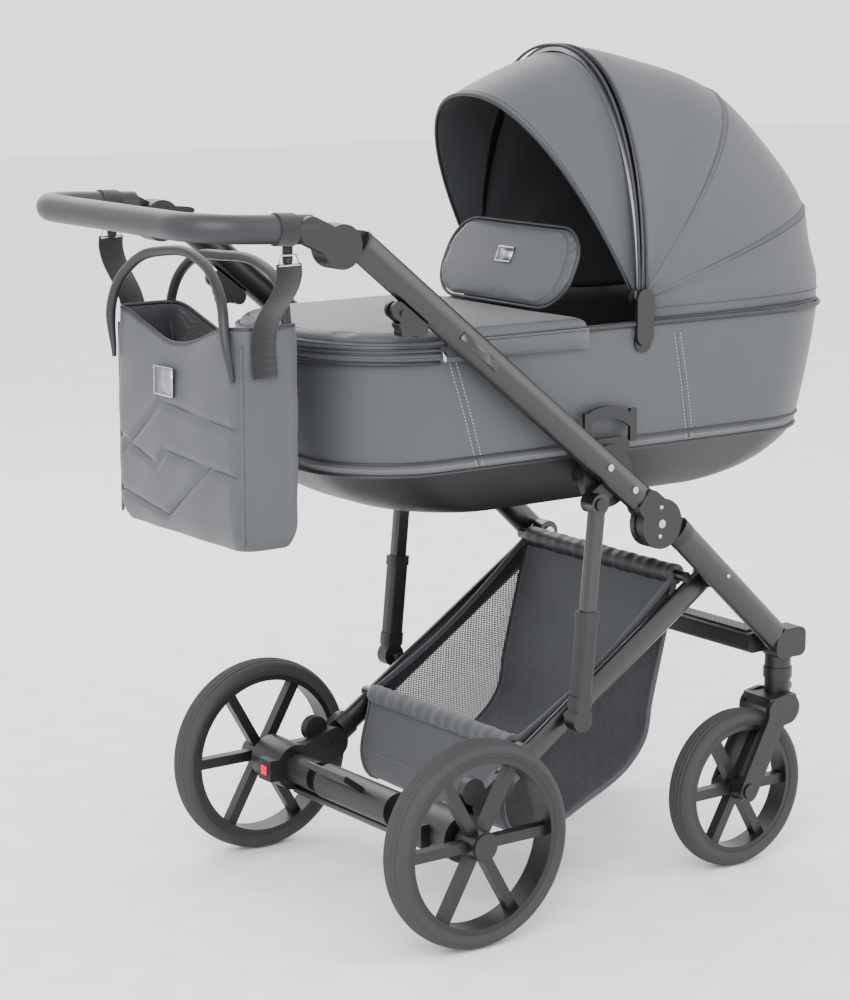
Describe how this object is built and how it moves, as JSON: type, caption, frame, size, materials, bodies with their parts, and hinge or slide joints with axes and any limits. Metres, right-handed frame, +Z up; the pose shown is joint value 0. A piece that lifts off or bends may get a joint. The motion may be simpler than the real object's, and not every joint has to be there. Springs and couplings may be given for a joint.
{
  "type": "baby stroller",
  "caption": "Folding baby stroller with a lift-off carrycot, hinged hood and visor, swivel front wheels, shopping basket and a bag on the handle.",
  "frame": {"origin": "on the ground under the middle of the object's length, on its plane of symmetry", "axes": "+X forward towards the swivel wheels, +Y to the pusher's left, +Z up"},
  "size_m": [1.1694, 0.586, 1.1999],
  "materials": {
    "satin_black_tube": "satin",
    "moulded_black_plastic": "fine moulded texture",
    "dark_steel": "satin",
    "foam_tyre": "matte",
    "red_plastic": "gloss",
    "grey_leatherette": "semi-matte",
    "black_leatherette": "grained",
    "grey_fabric": "woven",
    "black_webbing": "woven",
    "satin_bow": "satin"
  },
  "bodies": {
    "front_frame": {"front_tubes": "satin_black_tube", "fold_joint_bases": "moulded_black_plastic", "front_knuckles": "moulded_black_plastic", "footrest_bar": "moulded_black_plastic", "footrest_pad": "moulded_black_plastic", "leg_pivot_pins": "dark_steel"},
    "handle_frame": {"handle_tube_right": "satin_black_tube", "handle_tube_left": "satin_black_tube", "fold_joint_covers": "moulded_black_plastic", "fold_joint_pins": "dark_steel", "handle_rivets": "dark_steel", "elbow_bases": "moulded_black_plastic", "seat_brackets": "moulded_black_plastic", "latch_mounts": "moulded_black_plastic"},
    "latch_right": {"fold_latch_right": "moulded_black_plastic"},
    "latch_left": {"fold_latch_left": "moulded_black_plastic"},
    "handle": {"handle_grip": "black_leatherette", "handle_elbows": "moulded_black_plastic", "bag_hangers": "black_webbing"},
    "bag": {"bag_body": "grey_leatherette", "bag_straps": "black_webbing"},
    "rear_legs": {"rear_leg_right": "satin_black_tube", "rear_leg_left": "satin_black_tube", "rear_knuckles": "moulded_black_plastic", "basket": "grey_fabric", "basket_bars": "satin_black_tube"},
    "rear_axle": {"axle_housing_right": "moulded_black_plastic", "axle_housing_left": "moulded_black_plastic", "axle_tube": "satin_black_tube", "axle_shafts": "dark_steel", "brake_rod": "satin_black_tube"},
    "brake": {"brake_pedal": "moulded_black_plastic"},
    "release_right": {"wheel_release_right": "red_plastic"},
    "release_left": {"wheel_release_left": "red_plastic"},
    "strut_upper": {"strut_tubes": "satin_black_tube"},
    "strut_lower": {"strut_sleeves": "moulded_black_plastic"},
    "rear_wheel_right": {"rear_tyre_right": "foam_tyre", "rear_rim_right": "moulded_black_plastic"},
    "rear_wheel_left": {"rear_tyre_left": "foam_tyre", "rear_rim_left": "moulded_black_plastic"},
    "caster_right": {"caster_fork_right": "moulded_black_plastic"},
    "caster_left": {"caster_fork_left": "moulded_black_plastic"},
    "front_wheel_right": {"front_tyre_right": "foam_tyre", "front_rim_right": "moulded_black_plastic"},
    "front_wheel_left": {"front_tyre_left": "foam_tyre", "front_rim_left": "moulded_black_plastic"},
    "lock_right": {"swivel_lock_right": "moulded_black_plastic"},
    "lock_left": {"swivel_lock_left": "moulded_black_plastic"},
    "carrycot": {"cot_body": "grey_leatherette", "cot_base": "moulded_black_plastic", "cot_mattress": "grey_fabric", "cot_apron": "grey_leatherette", "cot_adapters": "moulded_black_plastic", "hood_pivots": "moulded_black_plastic", "hood_rear": "grey_leatherette"},
    "adapter_right": {"adapter_release_right": "moulded_black_plastic"},
    "adapter_left": {"adapter_release_left": "moulded_black_plastic"},
    "hood": {"hood_bow": "satin_bow"},
    "visor": {"hood_visor": "grey_leatherette"},
    "flap": {"wind_flap": "grey_leatherette"}
  },
  "joints": [
    {"name": "frame_fold", "type": "hinge", "parent": "front_frame", "child": "handle_frame", "pos_m": [0.17075, 0, 0.538], "axis": [0, -1, 0], "range_deg": [0, 105]},
    {"name": "rear_leg_swing", "type": "hinge", "parent": "front_frame", "child": "rear_legs", "pos_m": [0.29775, 0, 0.441], "axis": [0, -1, 0], "range_deg": [0, 38]},
    {"name": "strut_swing", "type": "hinge", "parent": "handle_frame", "child": "strut_upper", "pos_m": [0.05875, 0, 0.578], "axis": [0, 1, 0], "range_deg": [0, 93.77]},
    {"name": "strut_telescope", "type": "slide", "parent": "strut_upper", "child": "strut_lower", "axis": [-0.0953, 0, -0.9955], "range_m": [-0.02872, 0]},
    {"name": "handle_tilt", "type": "hinge", "parent": "handle_frame", "child": "handle", "pos_m": [-0.37025, 0, 0.96], "axis": [0, 1, 0], "range_deg": [-10, 45]},
    {"name": "bag_swing", "type": "hinge", "parent": "handle", "child": "bag", "pos_m": [-0.44325, 0, 0.946], "axis": [0, 1, 0], "range_deg": [0, 70]},
    {"name": "latch_pull_right", "type": "hinge", "parent": "handle_frame", "child": "latch_right", "pos_m": [-0.27225, -0.222, 0.868], "axis": [0, 1, 0], "range_deg": [0, 10], "stiffness_Nm_per_rad": 0.6, "springref_deg": -11.46},
    {"name": "rear_spin_right", "type": "hinge", "parent": "rear_axle", "child": "rear_wheel_right", "pos_m": [-0.18025, -0.27, 0.145], "axis": [0, 1, 0], "continuous": true},
    {"name": "caster_swivel_right", "type": "hinge", "parent": "front_frame", "child": "caster_right", "pos_m": [0.42075, -0.214, 0.268], "axis": [0, 0, 1], "continuous": true},
    {"name": "front_spin_right", "type": "hinge", "parent": "caster_right", "child": "front_wheel_right", "pos_m": [0.33975, -0.214, 0.1185], "axis": [0, 1, 0], "continuous": true},
    {"name": "swivel_lock_press_right", "type": "slide", "parent": "caster_right", "child": "lock_right", "axis": [-1, 0, 0], "range_m": [0, 0.002], "stiffness_N_per_m": 300, "springref_m": -0.002},
    {"name": "wheel_release_press_right", "type": "slide", "parent": "rear_axle", "child": "release_right", "axis": [1, 0, 0], "range_m": [0, 0.0035], "stiffness_N_per_m": 300, "springref_m": -0.002},
    {"name": "adapter_pull_right", "type": "slide", "parent": "carrycot", "child": "adapter_right", "axis": [0, 0, 1], "range_m": [0, 0.006], "stiffness_N_per_m": 300, "springref_m": -0.004},
    {"name": "latch_pull_left", "type": "hinge", "parent": "handle_frame", "child": "latch_left", "pos_m": [-0.27225, 0.222, 0.868], "axis": [0, 1, 0], "range_deg": [0, 10], "stiffness_Nm_per_rad": 0.6, "springref_deg": -11.46},
    {"name": "rear_spin_left", "type": "hinge", "parent": "rear_axle", "child": "rear_wheel_left", "pos_m": [-0.18025, 0.27, 0.145], "axis": [0, 1, 0], "continuous": true},
    {"name": "caster_swivel_left", "type": "hinge", "parent": "front_frame", "child": "caster_left", "pos_m": [0.42075, 0.214, 0.268], "axis": [0, 0, 1], "continuous": true},
    {"name": "front_spin_left", "type": "hinge", "parent": "caster_left", "child": "front_wheel_left", "pos_m": [0.33975, 0.214, 0.1185], "axis": [0, 1, 0], "continuous": true},
    {"name": "swivel_lock_press_left", "type": "slide", "parent": "caster_left", "child": "lock_left", "axis": [-1, 0, 0], "range_m": [0, 0.002], "stiffness_N_per_m": 300, "springref_m": -0.002},
    {"name": "wheel_release_press_left", "type": "slide", "parent": "rear_axle", "child": "release_left", "axis": [1, 0, 0], "range_m": [0, 0.0035], "stiffness_N_per_m": 300, "springref_m": -0.002},
    {"name": "adapter_pull_left", "type": "slide", "parent": "carrycot", "child": "adapter_left", "axis": [0, 0, 1], "range_m": [0, 0.006], "stiffness_N_per_m": 300, "springref_m": -0.004},
    {"name": "rear_suspension", "type": "hinge", "parent": "rear_legs", "child": "rear_axle", "pos_m": [-0.11125, 0, 0.17], "axis": [0, 1, 0], "range_deg": [0, 6], "stiffness_Nm_per_rad": 150, "springref_deg": -14.32},
    {"name": "brake_press", "type": "hinge", "parent": "rear_axle", "child": "brake", "pos_m": [-0.18025, 0, 0.145], "axis": [0, -1, 0], "range_deg": [0, 18]},
    {"name": "carrycot_lift", "type": "slide", "parent": "front_frame", "child": "carrycot", "axis": [0, 0, 1], "range_m": [0, 0.25]},
    {"name": "hood_fold", "type": "hinge", "parent": "carrycot", "child": "hood", "pos_m": [0.16375, 0, 0.852], "axis": [0, 1, 0], "range_deg": [0, 70]},
    {"name": "visor_tilt", "type": "hinge", "parent": "hood", "child": "visor", "pos_m": [0.16375, 0, 0.852], "axis": [0, 1, 0], "range_deg": [0, 24]},
    {"name": "flap_fold", "type": "hinge", "parent": "carrycot", "child": "flap", "pos_m": [0.05175, 0, 0.8383], "axis": [0, -1, 0], "range_deg": [0, 104]}
  ],
  "couplings": [
    {"joint": "rear_leg_swing", "follows": "frame_fold", "ratio": 0.3619},
    {"joint": "strut_swing", "follows": "frame_fold", "ratio": 0.89308},
    {"joint": "strut_telescope", "follows": "frame_fold", "m_per_rad": -0.015673},
    {"joint": "bag_swing", "follows": "frame_fold", "ratio": 0.66667}
  ]
}
